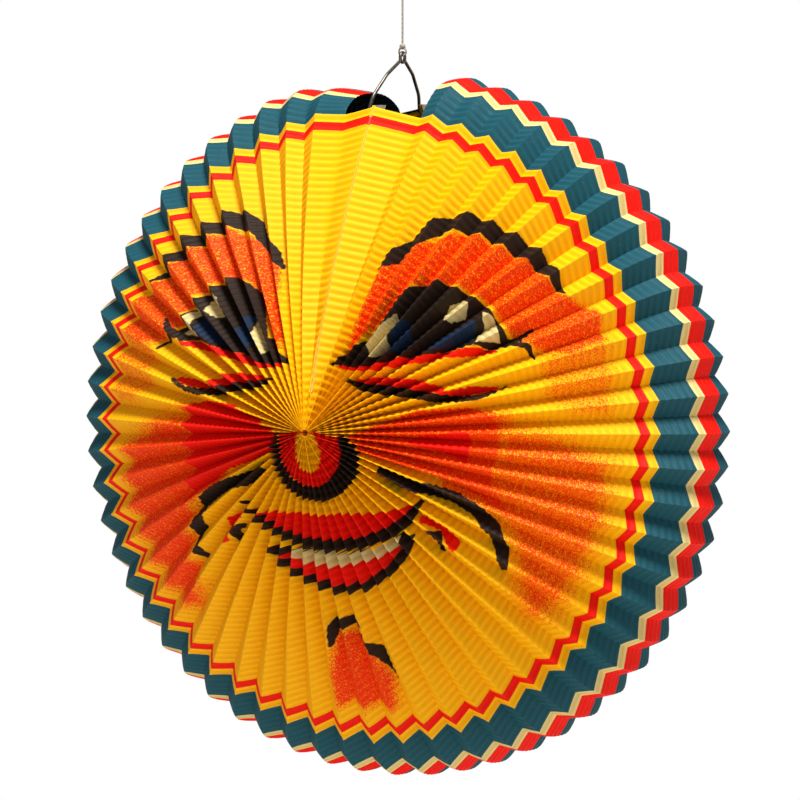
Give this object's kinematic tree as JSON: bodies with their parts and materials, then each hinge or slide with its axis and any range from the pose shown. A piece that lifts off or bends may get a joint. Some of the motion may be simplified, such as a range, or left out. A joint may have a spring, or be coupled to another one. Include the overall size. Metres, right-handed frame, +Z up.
{
  "type": "accordion paper lantern",
  "caption": "Round pleated paper drum lantern with a painted face on both sides, folding half sheets, card end strips, wire bail, candle socket and hanging thread.",
  "frame": {"origin": "hanging point: where the thread's top loop bears on its hook, above the drum's axis and middle plane", "axes": "+Z up; the painted front faces -Y; +X is the viewer's right; the drum's axis is parallel to Y"},
  "size_m": [0.25, 0.141, 0.2985],
  "materials": {
    "printed_paper": "matt crimped paper, printed",
    "card": "matt",
    "bail_steel": "drawn wire",
    "spring_steel": "rolled strip",
    "tinned_steel": "bright tinned",
    "tie_thread": "twisted cotton",
    "hanging_thread": "twisted thread"
  },
  "bodies": {
    "thread": {"hanging_thread": "hanging_thread", "thread_loop": "hanging_thread"},
    "knot": {"thread_knot": "hanging_thread"},
    "bail": {"bail_wire": "bail_steel"},
    "right_end": {"right_front_strip": "card", "right_back_strip": "card", "right_end_pleat": "printed_paper", "front_hub_tie": "tie_thread", "back_hub_tie": "tie_thread", "right_pleats_1": "printed_paper", "right_pleats_2": "printed_paper", "right_pleats_3": "printed_paper"},
    "bottom": {"bottom_seam_card": "card", "candle_clip": "spring_steel", "candle_socket": "tinned_steel", "cup_rivet": "tinned_steel", "right_pleats_4": "printed_paper", "right_pleats_5": "printed_paper", "right_pleats_6": "printed_paper", "right_pleats_7": "printed_paper", "left_pleats_7": "printed_paper", "left_pleats_6": "printed_paper", "left_pleats_5": "printed_paper", "left_pleats_4": "printed_paper"},
    "left_end": {"left_front_strip": "card", "left_back_strip": "card", "left_end_pleat": "printed_paper", "left_pleats_1": "printed_paper", "left_pleats_2": "printed_paper", "left_pleats_3": "printed_paper"}
  },
  "joints": [
    {"name": "lantern_turn", "type": "hinge", "parent": "thread", "child": "knot", "pos_m": [0, 0, -0.0383], "axis": [0, 0, 1], "continuous": true},
    {"name": "bail_tip", "type": "hinge", "parent": "knot", "child": "bail", "pos_m": [0, 0, -0.0426], "axis": [1, 0, 0], "range_deg": [-30, 30]},
    {"name": "lantern_swing", "type": "hinge", "parent": "bail", "child": "right_end", "pos_m": [0, 0, -0.0633], "axis": [0, 1, 0], "range_deg": [-25, 25]},
    {"name": "fold_right", "type": "hinge", "parent": "right_end", "child": "bottom", "pos_m": [0, 0, -0.1728], "axis": [0, 1, 0], "range_deg": [-173, 0], "deforming": ["right_end_pleat", "right_pleats_1", "right_pleats_2", "right_pleats_3", "right_pleats_4", "right_pleats_5", "right_pleats_6", "right_pleats_7"]},
    {"name": "fold_left", "type": "hinge", "parent": "bottom", "child": "left_end", "pos_m": [0, 0, -0.1728], "axis": [0, 1, 0], "range_deg": [-173, 0], "deforming": ["left_end_pleat", "left_pleats_1", "left_pleats_2", "left_pleats_3", "left_pleats_4", "left_pleats_5", "left_pleats_6", "left_pleats_7"]}
  ]
}
